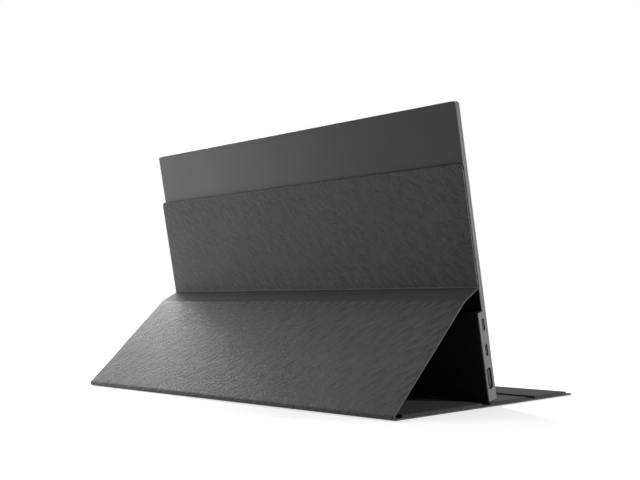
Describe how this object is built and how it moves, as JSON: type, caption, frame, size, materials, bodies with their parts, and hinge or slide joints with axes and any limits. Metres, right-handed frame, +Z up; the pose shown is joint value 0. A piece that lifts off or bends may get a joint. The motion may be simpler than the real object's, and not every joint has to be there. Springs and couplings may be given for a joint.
{
  "type": "portable monitor with folding cover",
  "caption": "Thin portable monitor with an electronics bump and side sockets, held leaning back by a folio cover whose panels fold into a strut and a padded base.",
  "frame": {"origin": "middle of the whole object's footprint, on the surface it stands on", "axes": "+Z up, X across the screen, the screen faces -Y and the strut reaches out towards +Y; the sockets are on the -X side"},
  "size_m": [0.3596, 0.2302, 0.2206],
  "materials": {
    "housing": "dark anodised, fine matte",
    "black_plastic": "matte",
    "tape": "matte",
    "screen_glass": "anti-glare",
    "film": "satin",
    "light_guide": "clear",
    "lamps": "gloss",
    "steel": "satin",
    "magnet": "nickel plated",
    "circuit": "solder mask",
    "chips": "matte",
    "flat_cable": "satin",
    "glue": "matte",
    "board": "grey board",
    "cover_skin": "woven grain",
    "lining": "microfibre"
  },
  "bodies": {
    "display": {"rear_housing": "housing", "front_bezel": "black_plastic", "bezel_tape": "tape", "lcd_glass": "screen_glass", "prism_film": "film", "diffuser_film": "film", "light_guide": "light_guide", "reflector_film": "film", "light_bar": "lamps", "backlight_tray": "steel", "panel_driver_board": "circuit", "main_board": "circuit", "board_components": "chips", "usb_c_upper_shell": "steel", "usb_c_upper_insert": "black_plastic", "usb_c_lower_shell": "steel", "usb_c_lower_insert": "black_plastic", "hdmi_shell": "steel", "hdmi_insert": "black_plastic", "panel_cable": "flat_cable", "key_cable": "flat_cable", "key_board": "circuit", "key_switches": "chips", "board_screws": "steel", "foot_magnets": "magnet", "panel_glue": "glue", "back_panel_board": "board", "back_panel_skin": "cover_skin"},
    "power_button": {"power_button": "black_plastic"},
    "menu_rocker": {"menu_rocker": "black_plastic"},
    "bridge": {"bridge_skin": "cover_skin", "bridge_lining": "lining"},
    "strut": {"strut_skin": "cover_skin", "strut_stiffener": "board", "strut_lining": "lining"},
    "base_rear": {"rear_fold_strip": "cover_skin", "base_rear_skin": "cover_skin", "base_rear_board": "board", "base_rear_lining": "lining"},
    "base_middle": {"rear_groove_strip": "cover_skin", "base_middle_skin": "cover_skin", "base_middle_board": "board", "base_middle_lining": "lining", "base_middle_magnets": "magnet"},
    "base_front": {"front_groove_strip": "cover_skin", "base_front_skin": "cover_skin", "base_front_board": "board", "base_front_lining": "lining", "base_front_magnets": "magnet"}
  },
  "joints": [
    {"name": "back_fold", "type": "hinge", "parent": "display", "child": "bridge", "pos_m": [0, 0.01917, 0.08611], "axis": [1, 0, 0], "range_deg": [0, 105]},
    {"name": "strut_fold", "type": "hinge", "parent": "bridge", "child": "strut", "pos_m": [0, 0.03535, 0.07736], "axis": [-1, 0, 0], "range_deg": [-120, 0]},
    {"name": "rear_fold", "type": "hinge", "parent": "strut", "child": "base_rear", "pos_m": [0, 0.11277, 0.0023], "axis": [1, 0, 0], "range_deg": [0, 137], "deforming": ["rear_fold_strip"]},
    {"name": "rear_groove_fold", "type": "hinge", "parent": "base_rear", "child": "base_middle", "pos_m": [0, 0.00923, 0], "axis": [1, 0, 0], "range_deg": [0, 170], "deforming": ["rear_groove_strip"]},
    {"name": "front_groove_fold", "type": "hinge", "parent": "base_middle", "child": "base_front", "pos_m": [0, -0.05227, 0.00165], "axis": [-1, 0, 0], "range_deg": [-145, 145], "deforming": ["front_groove_strip"]},
    {"name": "power_button_press", "type": "slide", "parent": "display", "child": "power_button", "axis": [-1, 0, 0], "range_m": [0, 0.00035], "stiffness_N_per_m": 600},
    {"name": "menu_rocker_tilt", "type": "hinge", "parent": "display", "child": "menu_rocker", "pos_m": [0.176, 0.0064, 0.03737], "axis": [0, 0.9799, -0.1994], "range_deg": [-2.5, 2.5], "stiffness_Nm_per_rad": 0.02}
  ]
}
